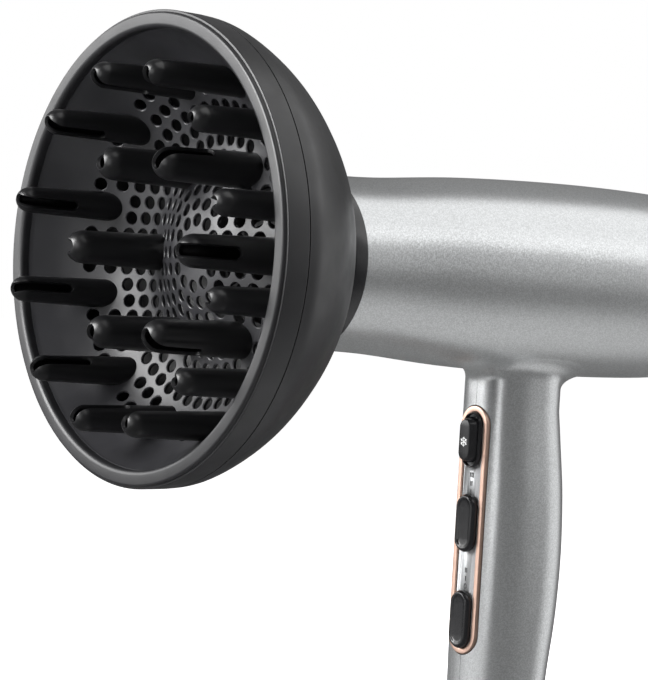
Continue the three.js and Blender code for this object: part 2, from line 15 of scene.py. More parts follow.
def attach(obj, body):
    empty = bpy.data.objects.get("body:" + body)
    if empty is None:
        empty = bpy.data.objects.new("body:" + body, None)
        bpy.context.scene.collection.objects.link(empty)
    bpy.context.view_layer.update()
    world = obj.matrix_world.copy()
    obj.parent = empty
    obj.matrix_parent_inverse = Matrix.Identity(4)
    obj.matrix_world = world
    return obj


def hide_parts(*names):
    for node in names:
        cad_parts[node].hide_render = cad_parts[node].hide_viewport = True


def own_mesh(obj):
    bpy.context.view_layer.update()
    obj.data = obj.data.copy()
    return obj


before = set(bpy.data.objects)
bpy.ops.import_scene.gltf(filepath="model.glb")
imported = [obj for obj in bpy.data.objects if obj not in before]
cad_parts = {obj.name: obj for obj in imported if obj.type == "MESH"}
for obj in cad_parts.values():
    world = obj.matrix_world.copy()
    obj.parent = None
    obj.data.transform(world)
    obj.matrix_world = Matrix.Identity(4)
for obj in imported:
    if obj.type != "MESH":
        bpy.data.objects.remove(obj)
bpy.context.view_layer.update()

# ---- driving dimensions, in millimetres ----
MM = 0.001
GAP = 0.3
SEAM = 0.14
WALL = 2.2
REAR_FACE = 285.0

BARREL_FRONT = 75.0
BARREL_BACK = 262.0
BARREL_LINE = [(75, 31.5), (100, 32.2), (140, 35.2), (190, 36.7), (236, 36.1), (262, 33.6)]

RIM_RADIUS = 82.3
RIM_INNER_RADIUS = 75.8
BOWL_WALL = 1.8
BOWL_LINE = [
    (10.3, 82), (16, 81.2), (24, 77.7), (32, 72.9), (40, 66.4), (48, 58.3), (56, 46.8), (62, 35.5),
]
PLATE_WALL = 1.4
PLATE_LINE = [
    (22.3, 0), (22.6, 8), (23.6, 15), (26.6, 23.2), (29.9, 30), (32.7, 37.5), (32.7, 44), (30.6, 51),
    (26.8, 58), (20.8, 64.5), (13, 70.5), (4, 75.4),
]
FINGER_BASE_RADIUS = 5.65
FINGER_TIP_RADIUS = 4.6
FINGER_DOME = 5.6
FINGER_BASE = 45.0
FINGER_WALL = 1.2
FINGER_SLOT = 3.7
FINGER_EDGE = 0.38  # the rounding of a finger's cut edges
AIR_HOLE_RADIUS = 3.0
OUTER_FINGERS = {"count": 12, "ring": 61.4, "first_deg": 15, "tip": -13.0, "slot_end": 7.5, "facing": -1}
INNER_FINGERS = {"count": 6, "ring": 33.7, "first_deg": 30, "tip": -6.2, "slot_end": 12.2, "facing": 1}
HOLE_RADIUS = 2.25
HOLE_CLEARANCE = 7.75  # from a finger's axis to the middle of the nearest hole
HOLE_PITCH = 5.8
FIRST_HOLE_RING = 2
LAST_HOLE_RING = 11

HANDLE_TOP = -50.0
HANDLE_END = -178.0
# Stations down the handle: height, front edge, back edge and half width.
HANDLE_STATIONS = [
    (HANDLE_TOP, 156.4, 193.4, 15.5), (-64, 156.4, 195.3, 16), (-82, 156.4, 197.4, 16.8),
    (-105, 156.4, 198.4, 17), (-128, 156.4, 197.4, 16.7), (-150, 156.6, 194.8, 16), (-168, 157, 193.6, 15.5),
    (-175.5, 158, 192.6, 14.7), (HANDLE_END, 160, 190.6, 12.8),
]
FRONT_POWER = 2.6
BACK_POWER = 2.2
# The flare that blends the handle into the barrel: how far it spreads and how tall it is.
FLARE_FRONT = (3.5, 4.5)
FLARE_SIDE = (5.0, 8.0)
FLARE_BACK = (11.0, 9.5)
FLARE_CREASE = math.radians(8)

HANDLE_CORE_TOP = -18.0  # inside the barrel, where the handle's walls and hollow begin

PANEL_MIDDLE = -96.1
PANEL_FACE = 156.6
TRIM_LENGTH = 93.6
TRIM_WIDTH = 15.0
TRIM_BAND = 2.2
TRIM_RISE = 0.6  # how far the trim ring stands out of the panel
BUTTON_WIDTH = 10.0
SLIDER_LENGTH = 21.8
SLIDER_FACE = 153.4
SLIDER_TRAVEL = 6.4
STEM_REACH = 3.0  # half the height of a slider's stem
STEM_HALF = 1.9
HEAT_MIDDLE = -93.5
SPEED_MIDDLE = -129.7
COOL_SHOT_MIDDLE = -62.2
COOL_SHOT_LENGTH = 21.2
COOL_SHOT_FACE = 151.5
HANDLE_AXIS = 175.4

HOUSING_SCREWS = [(185.4, -68.0), (185.4, -140.0)]
SCREW_HEAD_SEAT = 10.2
SCREW_HEAD_RADIUS = 2.9
SCREW_BORE_RADIUS = 1.7
BOSS_RADIUS = 3.6
BOSS_LENGTH = 17.0

SPIGOT_RADIUS = 27.2
SPIGOT_BORE = 25.4
SPIGOT_FLANGE = 29.0
REAR_WALL = 1.6
REAR_SLOTS = 16

FINE = 192  # sides of the large turned pieces
HANDLE_SIDES = 144
ARC_STEPS = 20  # steps round each end of an upright obround


# ---- meshes ----
def in_frame(x, y, z):
    return ((x - REAR_FACE) * MM, y * MM, z * MM)


def mesh_object(name, points, faces, sharp_deg=35.0):
    """An object from points in millimetres and faces, its doubled points merged and its faces turned out."""
    mesh = bpy.data.meshes.new(name)
    mesh.from_pydata([in_frame(*p) for p in points], [], faces)
    shape = bmesh.new()
    shape.from_mesh(mesh)
    bmesh.ops.remove_doubles(shape, verts=shape.verts, dist=2e-6)
    bmesh.ops.dissolve_degenerate(shape, edges=shape.edges, dist=1e-7)
    bmesh.ops.recalc_face_normals(shape, faces=shape.faces)
    shape.to_mesh(mesh)
    shape.free()
    obj = bpy.data.objects.new(name, mesh)
    bpy.context.scene.collection.objects.link(obj)
    soften(obj, sharp_deg)
    return obj


def soften(obj, sharp_deg):
    """Smooth shading, with edges sharper than the angle left crisp."""
    obj.data.shade_smooth()
    obj.data.set_sharp_from_angle(angle=math.radians(sharp_deg))


def bake(obj):
    """Makes the object's modifiers part of its mesh."""
    evaluated = obj.evaluated_get(bpy.context.evaluated_depsgraph_get())
    mesh = bpy.data.meshes.new_from_object(evaluated)
    obj.modifiers.clear()
    obj.data = mesh
    return obj


def combine(obj, operation, *tools):
    """The object cut by, joined to or kept inside each tool in turn. The tools are used up."""
    for tool in tools:
        modifier = obj.modifiers.new(operation, "BOOLEAN")
        modifier.object = tool
        modifier.operation = operation
        modifier.solver = "MANIFOLD"
        bake(obj)
        bpy.data.objects.remove(tool)
    return obj


def copy_of(obj, name):
    twin = obj.copy()
    twin.data = obj.data.copy()
    twin.name = name
    bpy.context.scene.collection.objects.link(twin)
    return twin


def bevel(obj, width, segments=2, angle_deg=40.0):
    """Rounds the object's sharp edges."""
    modifier = obj.modifiers.new("bevel", "BEVEL")
    modifier.width = width * MM
    modifier.segments = segments
    modifier.limit_method = "ANGLE"
    modifier.angle_limit = math.radians(angle_deg)
    bake(obj)
    soften(obj, 40.0)
    return obj


def smooth(stations, steps):
    """Points on a Catmull-Rom line through the stations, with that many steps between each two."""
    def between(p, q, r, s, t):
        square = 2 * p - 5 * q + 4 * r - s
        cube = 3 * q - p - 3 * r + s
        return 0.5 * (2 * q + (r - p) * t + square * t * t + cube * t ** 3)

    ends = [stations[0], *stations, stations[-1]]
    line = []
    for around in zip(ends, ends[1:], ends[2:], ends[3:]):
        for step in range(steps):
            line.append(tuple(between(*column, step / steps) for column in zip(*around)))
    line.append(tuple(stations[-1]))
    return line


def offset(line, distance):
    """The line moved sideways, to the side with more x or less radius."""
    moved = []
    for i, (x, radius) in enumerate(line):
        ax, ar = line[max(i - 1, 0)]
        bx, br = line[min(i + 1, len(line) - 1)]
        length = math.hypot(bx - ax, br - ar)
        moved.append((x + distance * (br - ar) / length, max(radius - distance * (bx - ax) / length, 0.0)))
    return moved


def at(line, value, known, wanted):
    """Linear interpolation along a line of tuples that rises or falls in column known."""
    for p, q in zip(line, line[1:]):
        low, high = sorted((p[known], q[known]))
        if low <= value <= high and high > low:
            share = (value - p[known]) / (q[known] - p[known])
            return p[wanted] + share * (q[wanted] - p[wanted])
    nearest = min(line, key=lambda p: abs(p[known] - value))
    return nearest[wanted]


def rounded(corners, steps=5):
    """A closed outline from (x, radius, fillet) corners, each corner with a fillet drawn as an arc."""
    line = []
    for i, (x, radius, fillet) in enumerate(corners):
        corner = Vector((x, radius))
        if not fillet:
            line.append((x, radius))
            continue
        back = (Vector(corners[i - 1][:2]) - corner).normalized()
        ahead = (Vector(corners[(i + 1) % len(corners)][:2]) - corner).normalized()
        half = back.angle(ahead) / 2
        centre = corner + (back + ahead).normalized() * fillet / math.sin(half)
        first = corner + back * fillet / math.tan(half) - centre
        last = corner + ahead * fillet / math.tan(half) - centre
        sweep = math.pi - 2 * half
        for step in range(steps + 1):
            t = step / steps
            arm = math.sin((1 - t) * sweep) * first + math.sin(t * sweep) * last
            point = centre + arm / math.sin(sweep)
            line.append((point.x, point.y))
    return line


def plain(line):
    """A line's points as corners without a fillet."""
    return [(x, radius, 0) for x, radius in line]


def turned(name, outline, sides=FINE, middle=None):
    """Turns a closed outline of (x, radius) points about the barrel's axis.

    With a middle it is turned about an upright axis at that x instead, and the outline's first
    number is then a height.
    """
    points = []
    faces = []
    count = len(outline)
    for side in range(sides):
        angle = 2 * math.pi * side / sides
        for along, radius in outline:
            if middle is None:
                points.append((along, radius * math.cos(angle), radius * math.sin(angle)))
            else:
                points.append((middle + radius * math.cos(angle), radius * math.sin(angle), along))
    for side in range(sides):
        ahead = (side + 1) % sides
        for k in range(count):
            after = (k + 1) % count
            faces.append((side * count + k, ahead * count + k, ahead * count + after, side * count + after))
    return mesh_object(name, points, faces)


def rod(name, start, end, radius, sides=32):
    """A plain round rod between two points."""
    a, b = Vector(start), Vector(end)
    turn = (b - a).to_track_quat("Z", "Y").to_matrix()
    points = []
    for centre in (a, b):
        for side in range(sides):
            angle = 2 * math.pi * side / sides
            points.append(centre + turn @ Vector((radius * math.cos(angle), radius * math.sin(angle), 0)))
    faces = [(side, (side + 1) % sides, sides + (side + 1) % sides, sides + side) for side in range(sides)]
    faces += [tuple(range(sides)), tuple(range(sides, 2 * sides))]
    return mesh_object(name, points, faces)


def block(name, x, y, z):
    """A box between the limits on each axis."""
    points = [(a, b, c) for a in x for b in y for c in z]
    faces = [(0, 1, 3, 2), (4, 6, 7, 5), (0, 4, 5, 1), (2, 3, 7, 6), (0, 2, 6, 4), (1, 5, 7, 3)]
    return mesh_object(name, points, faces)


def obround(name, length, middle, rings, relief=None, ring_shaped=False):
    """An upright obround body from rings of (radius, x), which share their straight reach.

    relief(y, z) moves the rings' points in x. A ring-shaped body's last ring joins its first; any
    other body is closed at both ends.
    """
    widest = max(radius for radius, _ in rings)
    reach = length / 2 - widest
    points = []
    faces = []
    size = 2 * (ARC_STEPS + 1)
    for radius, x in rings:
        for side in (1, -1):
            for step in range(ARC_STEPS + 1):
                angle = math.pi * step / ARC_STEPS
                y = side * radius * math.cos(angle)
                z = side * (reach + radius * math.sin(angle))
                points.append((x + (relief(y, z) if relief else 0.0), y, middle + z))
    joins = len(rings) if ring_shaped else len(rings) - 1
    for ring in range(joins):
        after = (ring + 1) % len(rings)
        for k in range(size):
            ahead = (k + 1) % size
            faces.append((ring * size + k, ring * size + ahead, after * size + ahead, after * size + k))
    if not ring_shaped:
        for ring in (0, len(rings) - 1):
            if rings[ring][0] > 0:
                faces.append(tuple(ring * size + k for k in range(size)))
    return mesh_object(name, points, faces)


def show(obj, body, slot, *nodes):
    """Gives a piece its slot's material and the body it rides on, and hides the CAD nodes that it stands for.
    """
    obj.data.materials.clear()
    obj.data.materials.append(MATERIALS[slot])
    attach(obj, body)
    if nodes:
        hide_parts(*nodes)
    return obj


# ---- materials ----
def new_material(name, color, roughness, metallic=0.0):
    material = bpy.data.materials.new(name)
    material.use_nodes = True
    shader = material.node_tree.nodes["Principled BSDF"]
    shader.inputs["Base Color"].default_value = (*color, 1.0)
    shader.inputs["Roughness"].default_value = roughness
    shader.inputs["Metallic"].default_value = metallic
    return material, material.node_tree.nodes, material.node_tree.links, shader


def object_coordinates(nodes):
    return nodes.new("ShaderNodeTexCoord").outputs["Object"]


def ramp(nodes, low, high, low_at, high_at):
    """A colour ramp between two colours at two places."""
    node = nodes.new("ShaderNodeValToRGB")
    node.color_ramp.elements[0].position = low_at
    node.color_ramp.elements[1].position = high_at
    node.color_ramp.elements[0].color = (*low, 1.0)
    node.color_ramp.elements[1].color = (*high, 1.0)
    return node


def add_grain(nodes, links, shader, grain, depth, strength):
    """A fine moulded grain: bumps of that size and depth, in metres."""
    noise = nodes.new("ShaderNodeTexNoise")
    noise.inputs["Scale"].default_value = 1.0 / grain
    noise.inputs["Detail"].default_value = 3.0
    links.new(object_coordinates(nodes), noise.inputs["Vector"])
    bump = nodes.new("ShaderNodeBump")
    bump.inputs["Strength"].default_value = strength
    bump.inputs["Distance"].default_value = depth
    links.new(noise.outputs["Fac"], bump.inputs["Height"])
    links.new(bump.outputs["Normal"], shader.inputs["Normal"])
    return noise


def add_shade(nodes, links, shader, color, share, patch):
    """A soft variation of the colour in patches of that size, in metres."""
    noise = nodes.new("ShaderNodeTexNoise")
    noise.inputs["Scale"].default_value = 1.0 / patch
    noise.inputs["Detail"].default_value = 4.0
    links.new(object_coordinates(nodes), noise.inputs["Vector"])
    low = tuple(c * (1 - share) for c in color)
    high = tuple(min(c * (1 + share), 1.0) for c in color)
    tone = ramp(nodes, low, high, 0.3, 0.7)
    links.new(noise.outputs["Fac"], tone.inputs["Fac"])
    links.new(tone.outputs["Color"], shader.inputs["Base Color"])


def add_roughness(nodes, links, shader, low, high, patch):
    """Roughness that wanders between two values, as handled surfaces do."""
    noise = nodes.new("ShaderNodeTexNoise")
    noise.inputs["Scale"].default_value = 1.0 / patch
    noise.inputs["Detail"].default_value = 5.0
    links.new(object_coordinates(nodes), noise.inputs["Vector"])
    spread = nodes.new("ShaderNodeMapRange")
    spread.inputs["From Min"].default_value = 0.3
    spread.inputs["From Max"].default_value = 0.7
    spread.inputs["To Min"].default_value = low
    spread.inputs["To Max"].default_value = high
    links.new(noise.outputs["Fac"], spread.inputs["Value"])
    links.new(spread.outputs["Result"], shader.inputs["Roughness"])


FLAKE = 0.00034  # metres across


def flake_paint(name, color, roughness, tilt, contrast, coat):
    """Silver paint: metal flakes that each lie at their own small angle, under a thin clear coat."""
    material, nodes, links, shader = new_material(name, color, roughness, 0.85)
    flakes = nodes.new("ShaderNodeTexVoronoi")
    flakes.inputs["Scale"].default_value = 1.0 / FLAKE
    links.new(object_coordinates(nodes), flakes.inputs["Vector"])
    centred = nodes.new("ShaderNodeVectorMath")
    centred.operation = "SUBTRACT"
    centred.inputs[1].default_value = (0.5, 0.5, 0.5)
    links.new(flakes.outputs["Color"], centred.inputs[0])
    lean = nodes.new("ShaderNodeVectorMath")
    lean.operation = "MULTIPLY_ADD"
    lean.inputs[1].default_value = (tilt, tilt, tilt)
    links.new(centred.outputs["Vector"], lean.inputs[0])
    links.new(nodes.new("ShaderNodeNewGeometry").outputs["Normal"], lean.inputs[2])
    unit = nodes.new("ShaderNodeVectorMath")
    unit.operation = "NORMALIZE"
    links.new(lean.outputs["Vector"], unit.inputs[0])
    links.new(unit.outputs["Vector"], shader.inputs["Normal"])
    low = tuple(c * (1 - contrast) for c in color)
    high = tuple(min(c * (1 + contrast), 1.0) for c in color)
    tone = ramp(nodes, low, high, 0.15, 0.9)
    split = nodes.new("ShaderNodeSeparateColor")
    links.new(flakes.outputs["Color"], split.inputs["Color"])
    links.new(split.outputs["Red"], tone.inputs["Fac"])
    links.new(tone.outputs["Color"], shader.inputs["Base Color"])
    shader.inputs["Coat Weight"].default_value = coat
    shader.inputs["Coat Roughness"].default_value = 0.25
    return material


def moulded(name, color, roughness, grain, depth, strength, shade=0.12):
    """Moulded plastic with a fine grain."""
    material, nodes, links, shader = new_material(name, color, roughness)
    add_grain(nodes, links, shader, grain, depth, strength)
    add_shade(nodes, links, shader, color, shade, 0.012)
    add_roughness(nodes, links, shader, roughness * 0.88, roughness * 1.12, 0.008)
    return material


def satin_metal(name, color, roughness, grain, depth, strength):
    """Metal with a fine satin surface."""
    material, nodes, links, shader = new_material(name, color, roughness, 1.0)
    add_grain(nodes, links, shader, grain, depth, strength)
    add_shade(nodes, links, shader, color, 0.06, 0.004)
    add_roughness(nodes, links, shader, roughness * 0.85, roughness * 1.15, 0.003)
    return material


def layered(name, color, dark, roughness, layer):
    """Mica sheet or another flaky board: streaks and flecks of a darker tone."""
    material, nodes, links, shader = new_material(name, color, roughness)
    noise = add_grain(nodes, links, shader, layer, 0.00005, 0.4)
    tone = ramp(nodes, dark, color, 0.35, 0.6)
    links.new(noise.outputs["Fac"], tone.inputs["Fac"])
    links.new(tone.outputs["Color"], shader.inputs["Base Color"])
    return material


MATERIALS = {
    "silver_paint": flake_paint("silver_paint", (0.5, 0.51, 0.515), 0.28, 0.065, 0.13, 0.15),
    "panel_silver": flake_paint("panel_silver", (0.52, 0.53, 0.54), 0.5, 0.03, 0.06, 0.0),
    "rose_gold": satin_metal("rose_gold", (0.84, 0.58, 0.47), 0.4, 0.0003, 0.000003, 0.2),
    "black_gloss": moulded("black_gloss", (0.008, 0.008, 0.009), 0.24, 0.0006, 0.000004, 0.3),
    "black_satin": moulded("black_satin", (0.02, 0.02, 0.021), 0.42, 0.0004, 0.00002, 0.4),
    "diffuser_satin": moulded("diffuser_satin", (0.008, 0.008, 0.009), 0.4, 0.00035, 0.00001, 0.3),
    "diffuser_plate": moulded("diffuser_plate", (0.016, 0.016, 0.018), 0.42, 0.0004, 0.00001, 0.3),
    "finger_black": moulded("finger_black", (0.004, 0.004, 0.0045), 0.33, 0.0006, 0.000002, 0.1),
    "mica": layered("mica", (0.45, 0.33, 0.18), (0.2, 0.13, 0.06), 0.45, 0.0015),
    "heating_wire": satin_metal("heating_wire", (0.22, 0.2, 0.19), 0.4, 0.0004, 0.00001, 0.4),
    "steel": satin_metal("steel", (0.45, 0.46, 0.47), 0.32, 0.0004, 0.00001, 0.4),
    "copper": satin_metal("copper", (0.5, 0.22, 0.1), 0.35, 0.0005, 0.00003, 0.6),
    "white_plastic": moulded("white_plastic", (0.7, 0.68, 0.62), 0.45, 0.0005, 0.00002, 0.3, 0.04),
    "circuit_board": layered("circuit_board", (0.04, 0.12, 0.06), (0.025, 0.08, 0.04), 0.35, 0.002),
    "marking_white": moulded("marking_white", (0.8, 0.8, 0.8), 0.4, 0.0002, 0.000004, 0.3, 0.04),
    "marking_dark": moulded("marking_dark", (0.01, 0.01, 0.01), 0.6, 0.0002, 0.000004, 0.3, 0.1),
}


# ---- casing ----
barrel_line = smooth(BARREL_LINE, 16)


def barrel_solid(name, line, front, back, sides=FINE):
    inner = [(x, radius) for x, radius in line if front < x < back]
    return turned(name, [
        (front, 0), (front, at(line, front, 0, 1)), *inner, (back, at(line, back, 0, 1)), (back, 0),
    ], sides)


handle_line = smooth(HANDLE_STATIONS, 8)


def section_point(angle, front, back, half):
    """A point on the handle's section: a squarer front half and a rounder back half."""
    along, across = math.cos(angle), math.sin(angle)
    power = FRONT_POWER if along < 0 else BACK_POWER
    reach = (abs(along) ** power + abs(across) ** power) ** (-1 / power)
    return Vector(((front + back) / 2 + along * reach * (back - front) / 2, across * reach * half))


def section_normal(angle, front, back, half):
    step = 0.01
    tangent = section_point(angle + step, front, back, half) - section_point(angle - step, front, back, half)
    return Vector((tangent.y, -tangent.x)).normalized()


def barrel_underside(point):
    radius = at(barrel_line, point.x, 0, 1)
    return -math.sqrt(max(radius ** 2 - point.y ** 2, 0.0))


def flare_column(angle):
    """Points down one side of the handle's flare, from inside the barrel to the plain handle."""
    top_station = handle_line[0][1:]
    foot = section_point(angle, *top_station)
    normal = section_normal(angle, *top_station)
    along = math.cos(angle)
    end = FLARE_BACK if along > 0 else FLARE_FRONT
    spread, height = (side + (far - side) * along ** 2 for side, far in zip(FLARE_SIDE, end))
    meet = foot + normal * spread
    top = barrel_underside(meet)
    step_in = 0.1
    slope = (top - barrel_underside(meet - normal * step_in)) / step_in
    lean = math.atan(slope) + FLARE_CREASE
    # A cubic curve from the handle's side, rising straight up, to the barrel's underside.
    a = Vector((0, top - height))
    b = a + Vector((0, 0.62 * height))
    d = Vector((spread, top))
    c = d - Vector((math.cos(lean), math.sin(lean))) * 0.5 * spread
    column = [(foot, HANDLE_CORE_TOP), (foot + normal * (spread - 2.5), top + 2.0)]
    steps = 16
    for step in range(steps, -1, -1):
        t = step / steps
        point = (1 - t) ** 3 * a + 3 * (1 - t) ** 2 * t * b + 3 * (1 - t) * t * t * c + t ** 3 * d
        column.append((foot + normal * point.x, point.y))
    return column


def handle_solid(name):
    """The handle with its flare, as one closed solid."""
    columns = []
    blend_rows = 4
    for side in range(HANDLE_SIDES):
        angle = 2 * math.pi * side / HANDLE_SIDES
        column = [(p.x, p.y, z) for p, z in flare_column(angle)]
        lowest = column[-1][2]
        for row in range(1, blend_rows):
            z = lowest + (HANDLE_TOP - lowest) * row / blend_rows
            column.append((column[-1][0], column[-1][1], z))
        for z, front, back, half in handle_line:
            point = section_point(angle, front, back, half)
            column.append((point.x, point.y, z))
        columns.append(column)
    rows = len(columns[0])
    points = [point for column in columns for point in column]
    faces = []
    for side in range(HANDLE_SIDES):
        here = side * rows
        ahead = (side + 1) % HANDLE_SIDES * rows
        for row in range(rows - 1):
            faces.append((here + row, ahead + row, ahead + row + 1, here + row + 1))
    faces.append(tuple(side * rows for side in range(HANDLE_SIDES)))
    faces.append(tuple(side * rows + rows - 1 for side in range(HANDLE_SIDES)))
    return mesh_object(name, points, faces)


def handle_core(name, inset, top, bottom):
    """A plain handle-shaped solid, drawn in by an inset, between two heights."""
    nearest = min(handle_line, key=lambda station: abs(station[0] - bottom))
    between = [station for station in handle_line if bottom < station[0] < top]
    levels = [(top, *handle_line[0][1:]), *between, (bottom, *nearest[1:])]
    points = []
    for z, front, back, half in levels:
        for side in range(HANDLE_SIDES):
            angle = 2 * math.pi * side / HANDLE_SIDES
            point = section_point(angle, front + inset, back - inset, half - inset)
            points.append((point.x, point.y, z))
    faces = []
    for row in range(len(levels) - 1):
        for side in range(HANDLE_SIDES):
            ahead = (side + 1) % HANDLE_SIDES
            first = row * HANDLE_SIDES
            second = first + HANDLE_SIDES
            faces.append((first + side, first + ahead, second + ahead, second + side))
    faces.append(tuple(range(HANDLE_SIDES)))
    faces.append(tuple(range((len(levels) - 1) * HANDLE_SIDES, len(levels) * HANDLE_SIDES)))
    return mesh_object(name, points, faces)


def make_casing():
    bore_line = offset(barrel_line, WALL)
    walls = barrel_solid("walls", barrel_line, BARREL_FRONT, BARREL_BACK)
    combine(walls, "UNION", handle_solid("handle"))
    outside = copy_of(walls, "outside")
    bore = barrel_solid("bore", bore_line, BARREL_FRONT - 1, BARREL_BACK + 1, 96)
    core = handle_core("core", WALL, HANDLE_CORE_TOP, HANDLE_END - 1)
    radius = TRIM_WIDTH / 2 + GAP
    reach = [(radius, PANEL_FACE - 11.6), (radius, PANEL_FACE + 4.8)]
    opening = obround("opening", TRIM_LENGTH + 2 * GAP, PANEL_MIDDLE, reach)
    combine(walls, "DIFFERENCE", bore, core, opening)
    left, right = walls, copy_of(walls, "right")
    for x, z in HOUSING_SCREWS:
        for half, side in ((left, -1), (right, 1)):
            boss = rod("boss", (x, side * GAP / 2, z), (x, side * BOSS_LENGTH, z), BOSS_RADIUS)
            combine(boss, "INTERSECT", copy_of(outside, "limit"))
            combine(half, "UNION", boss)
            screw_bore = rod("bore", (x, -side, z), (x, side * 11, z), SCREW_BORE_RADIUS)
            combine(half, "DIFFERENCE", screw_bore)
        head = rod("head", (x, SCREW_HEAD_SEAT, z), (x, 20, z), SCREW_HEAD_RADIUS, 48)
        combine(right, "DIFFERENCE", head)
    bpy.data.objects.remove(outside)
    for obj, side, node in ((left, -1, "left_housing"), (right, 1, "right_housing")):
        limits = sorted((side * SEAM / 2, side * 60.0))
        combine(obj, "INTERSECT", block("side", (40, 300), limits, (-200, 60)))
        obj.name = node + "_shell"
        soften(obj, 30.0)
        show(obj, "dryer_body", "silver_paint", node)


# ---- barrel front and rear ----
def make_front():
    ring = rounded([
        (68.9, 27.6, 0), (68.9, 31.9, 0.7), (74.7, 31.9, 0.25), (74.7, 29, 0), (82, 29, 0), (82, 27.6, 0),
    ])
    show(turned("front_collar", ring), "dryer_body", "black_gloss", "front_ring")
    spigot = rounded([
        (49, SPIGOT_BORE, 0.6), (49, SPIGOT_RADIUS, 0.6),
        (82.4, SPIGOT_RADIUS, 0), (82.4, SPIGOT_FLANGE, 0.2),
        (84.4, SPIGOT_FLANGE, 0.2), (84.4, SPIGOT_RADIUS, 0),
        (98, SPIGOT_RADIUS, 0.3), (98, SPIGOT_BORE, 0.3),
    ])
    show(turned("outlet_spigot", spigot), "dryer_body", "black_satin", "outlet_nozzle")


def make_rear():
    bezel = rounded([
        (250, 28.6, 0), (250, 31, 0.3), (262, 31, 0), (262.3, 30.6, 0), (269, 30, 0.5), (269, 28.6, 0.5),
    ])
    show(turned("rear_sleeve", bezel), "dryer_body", "black_satin", "rear_bezel")
    outer = smooth([(262.4, 33.5), (269, 32.2), (277, 28.9), (283, 23.6), (REAR_FACE, 17.5)], 8)
    inner = offset(outer, REAR_WALL)
    outline = [(REAR_FACE, 0), *reversed(outer), *inner, (REAR_FACE - REAR_WALL, 0)]
    grille = turned("rear_cap", outline)
    for i in range(REAR_SLOTS):
        angle = 2 * math.pi * i / REAR_SLOTS
        slot = obround("slot", 12.5, 19.5, [(1.1, 262), (1.1, 292)])
        slot.data.transform(Matrix.Rotation(angle, 4, "X"))
        combine(grille, "DIFFERENCE", slot)
    bevel(grille, 0.25)
    show(grille, "rear_filter", "silver_paint", "rear_grille")


# ---- control panel ----
def make_trim():
    outer = TRIM_WIDTH / 2
    inner = outer - TRIM_BAND
    front, back = PANEL_FACE - TRIM_RISE, PANEL_FACE + 2.2
    section = rounded([(front, inner, 0.35), (front, outer, 0.5), (back, outer, 0), (back, inner, 0)])
    ring = obround("trim_band", TRIM_LENGTH, PANEL_MIDDLE, [(r, x) for x, r in section], ring_shaped=True)
    show(ring, "dryer_body", "rose_gold", "trim_ring")


def make_insert():
    radius = TRIM_WIDTH / 2 - TRIM_BAND - GAP
    length = TRIM_LENGTH - 2 * TRIM_BAND - 2 * GAP
    rings = [(radius - 0.3, PANEL_FACE), (radius, PANEL_FACE + 0.3)]
    rings += [(radius, PANEL_FACE + 2.4), (radius - 0.1, PANEL_FACE + 3.7)]
    insert = obround("panel_strip", length, PANEL_MIDDLE, rings)
    depth = (150, 163)  # cuts right through the strip
    slot_half = STEM_HALF + GAP
    for middle in (HEAT_MIDDLE, SPEED_MIDDLE):
        reach = (middle - STEM_REACH - GAP, middle + STEM_REACH + SLIDER_TRAVEL + GAP)
        combine(insert, "DIFFERENCE", block("slot", depth, (-slot_half, slot_half), reach))
    button_gap = [(4.2, x) for x in depth]
    combine(insert, "DIFFERENCE", obround("opening", 17.8, COOL_SHOT_MIDDLE, button_gap))
    show(insert, "dryer_body", "panel_silver", "panel_insert")


DISH_RINGS = [0.0, 0.8, 1.6, 2.2, 2.5, 2.8, 3.1, 3.4, 3.75]  # radii, closer together near the dish's edge
DISH_DEPTH = 0.95


def make_slider(node, body, middle):
    """A slider cap: bevelled sides, a narrow rim and a long dish that is deepest in its middle."""
    reach = (SLIDER_LENGTH - BUTTON_WIDTH) / 2
    rim = DISH_RINGS[-1]

    def dish(y, z):
        from_axis = math.hypot(y, max(abs(z) - reach, 0.0))
        inside = max(0.0, min((rim - from_axis) / 1.3, 1.0))
        along = max(0.0, 1 - (abs(z) / (reach + rim)) ** 2)
        return DISH_DEPTH * inside * inside * (3 - 2 * inside) * (0.35 + 0.65 * along)

    face = SLIDER_FACE
    side = BUTTON_WIDTH / 2
    rings = [(radius, face) for radius in DISH_RINGS]
    rings += [(4.05, face + 0.04), (4.3, face + 0.2), (side - 0.15, face + 1.0), (side, face + 1.35)]
    rings += [(side, PANEL_FACE - 0.6), (side - 0.2, PANEL_FACE - GAP)]
    cap = obround(node + "_cap", SLIDER_LENGTH, middle, rings, relief=dish)
    stem_height = (middle - STEM_REACH, middle + STEM_REACH)
    combine(cap, "UNION", block("stem", (155.8, 161.8), (-STEM_HALF, STEM_HALF), stem_height))
    soften(cap, 35.0)
    show(cap, body, "black_gloss", node)


def make_cool_shot():
    front = PANEL_FACE - 2.2
    back = PANEL_FACE - GAP
    side = BUTTON_WIDTH / 2
    bezel_rings = [(4.2, front + 0.35), (4.3, front + 0.2), (4.45, front + 0.15), (4.7, front + 0.5)]
    bezel_rings += [(side, front + 1.0), (side, back - 0.2), (side - 0.1, back), (4.2, back)]
    bezel = obround("cool_shot_base", COOL_SHOT_LENGTH, COOL_SHOT_MIDDLE, bezel_rings, ring_shaped=True)
    show(bezel, "dryer_body", "black_gloss", "cool_shot_bezel")
    face = COOL_SHOT_FACE
    rings = [(0.0, face), (2.55, face), (2.75, face + 0.05), (2.9, face + 0.2), (3.4, face + 1.3)]
    rings += [(3.6, face + 2.2), (3.9, face + 3.0), (3.9, PANEL_FACE + 2.9), (3.7, PANEL_FACE + 3.2)]
    button = obround("cool_shot_cap", COOL_SHOT_LENGTH - 4, COOL_SHOT_MIDDLE, rings)
    show(button, "cool_shot", "black_gloss", "cool_shot_button")
    make_snowflake(face)


